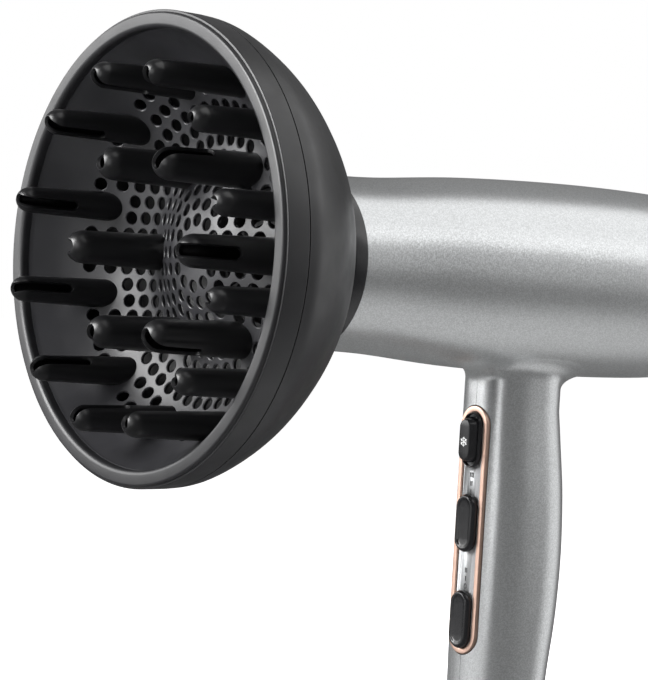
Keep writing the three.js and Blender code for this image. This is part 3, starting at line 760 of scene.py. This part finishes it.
def make_spring():
    """The cool-shot spring: a copy of the CAD spring's mesh, carried with the cool shot."""
    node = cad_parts["cool_shot_spring"]
    spring = bpy.data.objects.new("spring_coil", node.data.copy())
    spring.matrix_world = node.matrix_world
    bpy.context.scene.collection.objects.link(spring)
    show(spring, "cool_shot", "steel", "cool_shot_spring")
    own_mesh(spring)


PRINT_THICKNESS = 0.08


def stroke_object(name, face, strokes, width):
    """Printed strokes on an upright face: each is a (start, end) pair of (y, z) points."""
    box_faces = ((0, 1, 2, 3), (4, 7, 6, 5), (0, 4, 5, 1), (1, 5, 6, 2), (2, 6, 7, 3), (3, 7, 4, 0))
    points = []
    faces = []
    for start, end in strokes:
        a, b = Vector(start), Vector(end)
        along = (b - a).normalized() * width / 2
        side = Vector((-along.y, along.x))
        corners = [a - along + side, a - along - side, b + along - side, b + along + side]
        first = len(points)
        for x in (face - PRINT_THICKNESS, face + PRINT_THICKNESS):
            points += [(x, corner.x, corner.y) for corner in corners]
        faces += [tuple(first + k for k in box_face) for box_face in box_faces]
    mesh = bpy.data.meshes.new(name)
    mesh.from_pydata([in_frame(*p) for p in points], [], faces)
    obj = bpy.data.objects.new(name, mesh)
    bpy.context.scene.collection.objects.link(obj)
    return obj


def make_snowflake(face):
    """A six-armed flake with a small branch pair on each arm."""
    middle = Vector((0.0, COOL_SHOT_MIDDLE - 0.8))
    arm = 1.7
    branch = 0.6
    strokes = []
    for i in range(6):
        angle = math.pi / 6 + math.pi * i / 3
        out = Vector((math.cos(angle), math.sin(angle)))
        strokes.append((middle, middle + out * arm))
        fork = middle + out * arm * 0.55
        for turn in (-1, 1):
            tip_angle = angle + turn * math.pi / 4
            strokes.append((fork, fork + Vector((math.cos(tip_angle), math.sin(tip_angle))) * branch))
    flake = stroke_object("snowflake_mark", face, strokes, 0.26)
    show(flake, "cool_shot", "marking_white")


# Level marks: the number of bars in each row and the height of its middle.
HEAT_MARKS = [(3, -75.4), (2, -78.6), (1, -81.8)]
SPEED_MARKS = [(2, -111.3), (1, -114.4)]
ZERO_MARK = -117.3
BAR_PITCH = 0.75
BAR_HALF_HEIGHT = 0.7
BAR_WIDTH = 0.42


def make_marks():
    """Level marks above each slider: upright bars, and a zero below the speed bars."""
    for name, rows in (("heat_marks", HEAT_MARKS), ("speed_marks", SPEED_MARKS)):
        bars = []
        for count, z in rows:
            for k in range(count):
                y = (k - (count - 1) / 2) * BAR_PITCH
                bars.append(((y, z - BAR_HALF_HEIGHT), (y, z + BAR_HALF_HEIGHT)))
        show(stroke_object(name, PANEL_FACE, bars, BAR_WIDTH), "dryer_body", "marking_dark")
    front, back = PANEL_FACE - PRINT_THICKNESS, PANEL_FACE + PRINT_THICKNESS
    section = [(0.42, front), (0.72, front), (0.72, back), (0.42, back)]
    zero = obround("zero_mark", 2.0, ZERO_MARK, section, ring_shaped=True)
    show(zero, "dryer_body", "marking_dark")


# ---- handle end ----
def make_handle_end():
    cap = handle_core("end_plate", WALL + GAP, -174.2, HANDLE_END)
    combine(cap, "DIFFERENCE", rod("hole", (HANDLE_AXIS, 0, -190), (HANDLE_AXIS, 0, -165), 6.2, 64))
    bevel(cap, 0.3)
    show(cap, "dryer_body", "black_satin", "handle_end_cap")
    gland = rounded([
        (-180, 3.6, 0.4), (-180, 5.3, 0.4), (-179, 5.9, 0.3), (-173.9, 5.9, 0), (-173.9, 8, 0),
        (-172.2, 8, 0), (-172.2, 5.9, 0), (-166, 5.9, 0.3), (-166, 3.6, 0.3),
    ])
    show(turned("cord_inlet", gland, 64, HANDLE_AXIS), "dryer_body", "black_satin",
         "cord_gland")


# ---- diffuser ----
plate_front = smooth(PLATE_LINE, 8)


def make_shell():
    bowl = smooth(BOWL_LINE, 10)
    inner = offset(bowl, BOWL_WALL)
    outline = rounded([
        *plain(bowl), (64.4, 31.9, 0), (66, 31.3, 0.6), (68.4, 31.3, 0.4), (68.4, 29.7, 0.3), (53.2, 29.7, 0),
        (53.2, 31.3, 0), *plain(reversed(inner)),
    ])
    show(turned("diffuser_bowl", outline), "diffuser", "diffuser_satin",
         "diffuser_shell")


def make_rim():
    outline = rounded([
        (-0.6, RIM_INNER_RADIUS, 1.8), (-0.6, 81.3, 1.0), (0.9, 81.5, 0), (1.0, RIM_RADIUS, 0.3),
        (10, 82.05, 0.3), (10, 80.3, 0), (3, 79.8, 0), (3, RIM_INNER_RADIUS, 0),
    ], 8)
    show(turned("diffuser_band", outline), "diffuser", "diffuser_satin",
         "diffuser_rim")
    ring = rounded([
        (50.8, 27.55, 0.4), (50.8, 30.9, 0.4), (52.8, 30.9, 0.3), (52.8, 29.35, 0), (68.3, 29.35, 0.3),
        (68.3, 27.55, 0.3),
    ])
    show(turned("neck_sleeve", ring), "diffuser_clip", "black_satin", "neck_clip_ring")


def finger_angles(fingers):
    return [math.radians(fingers["first_deg"] + 360 * i / fingers["count"]) for i in range(fingers["count"])]


def perforations():
    """Places of the plate's holes, as (ring radius, angle from +Z). None lies under a finger."""
    taken = []
    for fingers in (OUTER_FINGERS, INNER_FINGERS):
        taken += [(fingers["ring"], angle) for angle in finger_angles(fingers)]
    places = []
    for n in range(FIRST_HOLE_RING, LAST_HOLE_RING + 1):
        ring = HOLE_PITCH * n
        count = 6 * n
        for i in range(count):
            angle = 2 * math.pi * (i + 0.5 * (n % 2)) / count
            y, z = ring * math.sin(angle), ring * math.cos(angle)
            gaps = [math.hypot(y - r * math.sin(a), z - r * math.cos(a)) for r, a in taken]
            if min(gaps) > HOLE_CLEARANCE:
                places.append((ring, angle))
    return places


def hole_cutter(name, places):
    """One cutter for all the holes: rods square to the plate, each flared where it meets the front face."""
    sides = 20
    profile = [(-3.0, 0.45), (0.0, 0.28), (0.28, 0.0), (1.25, 0.0), (1.6, 0.25), (4.0, 0.45)]  # depth, flare
    nearby = 0.4
    points = []
    faces = []
    for ring, angle in places:
        x = at(plate_front, ring, 1, 0)
        rise = at(plate_front, ring + nearby, 1, 0) - at(plate_front, ring - nearby, 1, 0)
        slope = math.atan2(rise, 2 * nearby)
        axis = Vector((math.cos(slope), 0, -math.sin(slope)))
        side_a = Vector((0, 1, 0))
        side_b = axis.cross(side_a)
        turn = Matrix.Rotation(-angle, 3, "X")
        first = len(points)
        for depth, flare in profile:
            centre = Vector((x, 0, ring)) + axis * depth
            for side in range(sides):
                a = 2 * math.pi * side / sides
                radius = HOLE_RADIUS + flare
                points.append(turn @ (centre + (side_a * math.cos(a) + side_b * math.sin(a)) * radius))
        for level in range(len(profile) - 1):
            low = first + level * sides
            for side in range(sides):
                after = (side + 1) % sides
                faces.append((low + side, low + after, low + sides + after, low + sides + side))
        faces.append(tuple(first + side for side in range(sides)))
        last = first + (len(profile) - 1) * sides
        faces.append(tuple(last + side for side in reversed(range(sides))))
    return mesh_object(name, points, faces)


def make_plate():
    back = offset(plate_front, PLATE_WALL)
    outer = plate_front[-1][1] + PLATE_WALL
    outline = [
        *plate_front, (3.1, 75.7), (3.1, 79.4), (4.7, 79.4), (4.7, outer), *reversed(back[1:-1]),
        (plate_front[0][0] + PLATE_WALL, 0),
    ]
    plate = turned("diffuser_face", outline)
    combine(plate, "DIFFERENCE", hole_cutter("holes", perforations()))
    for fingers in (OUTER_FINGERS, INNER_FINGERS):
        for angle in finger_angles(fingers):
            y, z = -fingers["ring"] * math.sin(angle), fingers["ring"] * math.cos(angle)
            combine(plate, "DIFFERENCE", rod("air", (15, y, z), (60, y, z), AIR_HOLE_RADIUS, 24))
    soften(plate, 40.0)
    show(plate, "diffuser", "diffuser_plate", "diffuser_plate")


FINGER_COLUMNS = 56


def finger_shoulder(fingers):
    """Where a finger's dome meets its tapered shank."""
    slot_angle = math.asin(FINGER_SLOT / 2 / FINGER_TIP_RADIUS)
    return fingers["tip"] + FINGER_DOME * math.cos(slot_angle)


def finger_radius(fingers, x):
    shoulder = finger_shoulder(fingers)
    share = (x - shoulder) / (FINGER_BASE - shoulder)
    return FINGER_TIP_RADIUS + share * (FINGER_BASE_RADIUS - FINGER_TIP_RADIUS)


def slotted_rows(fingers):
    """Rows from a finger's tip to the round end of its slot: x, radius and half the slot's width there."""
    dome_steps, straight_steps, round_steps = 14, 6, 8
    slot_end = fingers["slot_end"]
    slot_half = FINGER_SLOT / 2
    first_angle = math.asin(slot_half / FINGER_TIP_RADIUS)
    shoulder = finger_shoulder(fingers)
    rows = []
    for step in range(dome_steps + 1):
        angle = first_angle + (math.pi / 2 - first_angle) * step / dome_steps
        x = shoulder - FINGER_DOME * math.cos(angle)
        rows.append((x, FINGER_TIP_RADIUS * math.sin(angle), slot_half))
    for step in range(1, straight_steps + 1):
        x = shoulder + (slot_end - shoulder) * step / straight_steps
        rows.append((x, finger_radius(fingers, x), slot_half))
    for step in range(1, round_steps + 1):
        angle = math.pi / 2 * step / round_steps
        x = slot_end + slot_half * math.sin(angle)
        rows.append((x, finger_radius(fingers, x), slot_half * math.cos(angle)))
    return rows


def finger_place(fingers, radius, angle):
    """Where a point round a finger lies, as (y, z). Angle 0 is the middle of its slot."""
    return radius * math.sin(angle), fingers["ring"] + fingers["facing"] * radius * math.cos(angle)


def finger_foot(fingers, start, angle, share):
    """A point on the shank, that share of the way from x = start to just inside the plate's front face."""
    sink = 0.25
    x = start
    for _ in range(6):
        y, z = finger_place(fingers, finger_radius(fingers, x), angle)
        floor = at(plate_front, math.hypot(y, z), 1, 0) + sink
        x = start + (floor - start) * share
    return x, y, z


def finger_mesh(name, fingers):
    """One hollow finger, open along its slot, standing on the plate straight above the axis."""
    tail_steps = 6
    count = FINGER_COLUMNS + 1
    rows = slotted_rows(fingers)
    points = []
    for x, radius, half in rows:
        opening = math.asin(min(1.0, half / radius)) if half > 1e-6 else 0.0
        for k in range(count):
            angle = opening + (2 * math.pi - 2 * opening) * k / FINGER_COLUMNS
            points.append((x, *finger_place(fingers, radius, angle)))
    for step in range(1, tail_steps + 1):
        for k in range(count):
            angle = 2 * math.pi * k / FINGER_COLUMNS
            points.append(finger_foot(fingers, rows[-1][0], angle, step / tail_steps))
    faces = []
    for row in range(len(points) // count - 1):
        for k in range(FINGER_COLUMNS):
            first = row * count + k
            faces.append((first, first + 1, first + count + 1, first + count))
    finger = mesh_object(name, points, faces, 60.0)
    thicken = finger.modifiers.new("wall", "SOLIDIFY")
    thicken.thickness = FINGER_WALL * MM
    thicken.offset = -1.0
    thicken.use_even_offset = True
    bake(finger)
    bevel(finger, FINGER_EDGE, 3, 50.0)
    mesh = finger.data
    bpy.data.objects.remove(finger)
    return mesh


def make_fingers(prefix, fingers):
    mesh = finger_mesh(prefix + "_finger_shape", fingers)
    for i, angle in enumerate(finger_angles(fingers)):
        node = f"{prefix}_finger_{i + 1}"
        finger = bpy.data.objects.new(node + "_shape", mesh)
        finger.matrix_world = Matrix.Rotation(angle, 4, "X")
        bpy.context.scene.collection.objects.link(finger)
        show(finger, "diffuser", "finger_black", node)


# ---- pieces that keep their CAD shape ----
INNER_SLOTS = {
    "mica": ["heat_shield", "heater_board_flat", "heater_board_upright"],
    "heating_wire": ["heater_coil_low", "heater_coil_high"],
    "steel": ["housing_screw_1", "housing_screw_2", "thermostat", "motor_can", "motor_shaft", "lint_filter",
              "clamp_screw"],
    "copper": ["motor_rotor"],
    "white_plastic": ["motor_end_cap", "impeller", "terminal_block", "cable_clamp"],
    "circuit_board": ["switch_board"],
    "black_satin": ["outlet_grille", "fan_duct", "cool_shot_switch", "heat_switch", "speed_switch"],
}


def dress_inner_pieces():
    for slot, names in INNER_SLOTS.items():
        for name in names:
            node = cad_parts[name]
            node.data.materials.clear()
            node.data.materials.append(MATERIALS[slot])


# ---- studio ----
CAMERA_PLACE = (-0.8506, -0.8274, -0.0179)
CAMERA_AZIMUTH = math.radians(-38.057)
CAMERA_ELEVATION = math.radians(0.538)
CAMERA_ROLL = math.radians(3.493)
CAMERA_LENS = 154.53
FLOOR_HEIGHT = -0.1805
DRYER_MIDDLE = Vector((-0.15, 0.0, -0.02))


def make_camera():
    data = bpy.data.cameras.new("camera")
    data.lens = CAMERA_LENS
    data.sensor_width = 36.0
    data.clip_end = 100.0
    camera = bpy.data.objects.new("camera", data)
    turn = (
        Matrix.Rotation(CAMERA_AZIMUTH, 4, "Z")
        @ Matrix.Rotation(math.pi / 2 - CAMERA_ELEVATION, 4, "X")
        @ Matrix.Rotation(CAMERA_ROLL, 4, "Z")
    )
    camera.matrix_world = Matrix.Translation(CAMERA_PLACE) @ turn
    bpy.context.scene.collection.objects.link(camera)
    bpy.context.scene.camera = camera


def make_floor():
    half = 15.0
    paper = (0.93, 0.93, 0.93)
    mesh = bpy.data.meshes.new("floor")
    corners = [(-half, -half), (half, -half), (half, half), (-half, half)]
    mesh.from_pydata([(x, y, FLOOR_HEIGHT) for x, y in corners], [], [(0, 1, 2, 3)])
    floor = bpy.data.objects.new("floor", mesh)
    bpy.context.scene.collection.objects.link(floor)
    material, nodes, links, shader = new_material("floor_paper", paper, 0.9)
    add_shade(nodes, links, shader, paper, 0.01, 0.2)
    shader.inputs["Emission Color"].default_value = (1.0, 1.0, 1.0, 1.0)
    shader.inputs["Emission Strength"].default_value = 0.85
    mesh.materials.append(material)
    floor.visible_glossy = False


def softbox(name, toward, distance, size, brightness, along):
    """A soft area light that looks at the dryer from a direction. Its first side lies along another."""
    data = bpy.data.lights.new(name, "AREA")
    data.shape = "RECTANGLE"
    data.size, data.size_y = size
    data.energy = brightness * math.pi * size[0] * size[1]
    light = bpy.data.objects.new(name, data)
    back = Vector(toward).normalized()
    side = (Vector(along) - back * back.dot(along)).normalized()
    place = DRYER_MIDDLE + back * distance
    turn = Matrix((side, back.cross(side), back)).transposed().to_4x4()
    light.matrix_world = Matrix.Translation(place) @ turn
    light.visible_camera = False
    bpy.context.scene.collection.objects.link(light)


def world_glow(nodes, links, direction, toward, inner_deg, outer_deg, strength):
    """Adds a soft round patch of light in the surroundings and returns its brightness."""
    dot = nodes.new("ShaderNodeVectorMath")
    dot.operation = "DOT_PRODUCT"
    dot.inputs[1].default_value = Vector(toward).normalized()
    links.new(direction, dot.inputs[0])
    spread = nodes.new("ShaderNodeMapRange")
    spread.interpolation_type = "SMOOTHSTEP"
    spread.inputs["From Min"].default_value = math.cos(math.radians(outer_deg))
    spread.inputs["From Max"].default_value = math.cos(math.radians(inner_deg))
    spread.inputs["To Max"].default_value = strength
    links.new(dot.outputs["Value"], spread.inputs["Value"])
    return spread.outputs["Result"]


# Soft patches of the surroundings: direction, inner and outer half angle in degrees, strength.
GLOWS = [
    ((0.616, -0.727, 0.3), 9, 28, 0.62),
    ((0.6, -0.29, -0.73), 8, 34, 0.7),
    ((0.95, -0.25, 0.0), 8, 26, 1.4),
    ((0.6, 0.37, 0.7), 5, 40, 0.2),
    ((-0.94, 0.3, 0.05), 20, 45, 0.9),
]
WORLD_BASE = 0.15


def make_world():
    world = bpy.data.worlds.new("studio")
    bpy.context.scene.world = world
    world.use_nodes = True
    nodes, links = world.node_tree.nodes, world.node_tree.links
    nodes.clear()
    direction = nodes.new("ShaderNodeTexCoord").outputs["Generated"]
    total = None
    for toward, inner, outer, strength in GLOWS:
        glow = world_glow(nodes, links, direction, toward, inner, outer, strength)
        add = nodes.new("ShaderNodeMath")
        add.operation = "ADD"
        if total is None:
            add.inputs[0].default_value = WORLD_BASE
        else:
            links.new(total, add.inputs[0])
        links.new(glow, add.inputs[1])
        total = add.outputs["Value"]
    surround = nodes.new("ShaderNodeBackground")
    links.new(total, surround.inputs["Strength"])
    paper = nodes.new("ShaderNodeBackground")
    paper.inputs["Color"].default_value = (1.0, 1.0, 1.0, 1.0)
    mix = nodes.new("ShaderNodeMixShader")
    links.new(nodes.new("ShaderNodeLightPath").outputs["Is Camera Ray"], mix.inputs["Fac"])
    links.new(surround.outputs["Background"], mix.inputs[1])
    links.new(paper.outputs["Background"], mix.inputs[2])
    links.new(mix.outputs["Shader"], nodes.new("ShaderNodeOutputWorld").inputs["Surface"])


# Soft lights: name, direction, distance, size in metres, brightness, direction of the first side.
LIGHTS = [
    ("key", (0.4, -0.42, 0.86), 0.9, (1.7, 0.9), 1.5, (1.0, 0.0, 0.0)),
    ("left", (-0.62, 0.78, 0.25), 1.1, (0.8, 0.55), 4.0, (0.78, 0.62, 0.0)),
    ("front", (-0.9, -0.42, 0.15), 1.2, (0.5, 0.8), 1.9, (0.42, -0.9, 0.0)),
    ("bowl", (-0.86, 0.25, 0.42), 1.1, (0.75, 0.6), 17.0, (0.28, 0.96, 0.0)),
]


def make_studio():
    bpy.context.scene.view_settings.view_transform = "Standard"
    make_camera()
    make_floor()
    make_world()
    for light in LIGHTS:
        softbox(*light)


make_studio()
make_casing()
make_front()
make_rear()
make_trim()
make_insert()
make_slider("heat_slider", "heat_control", HEAT_MIDDLE)
make_slider("speed_slider", "speed_control", SPEED_MIDDLE)
make_cool_shot()
make_spring()
make_marks()
make_handle_end()
make_shell()
make_rim()
make_plate()
make_fingers("outer", OUTER_FINGERS)
make_fingers("inner", INNER_FINGERS)
dress_inner_pieces()
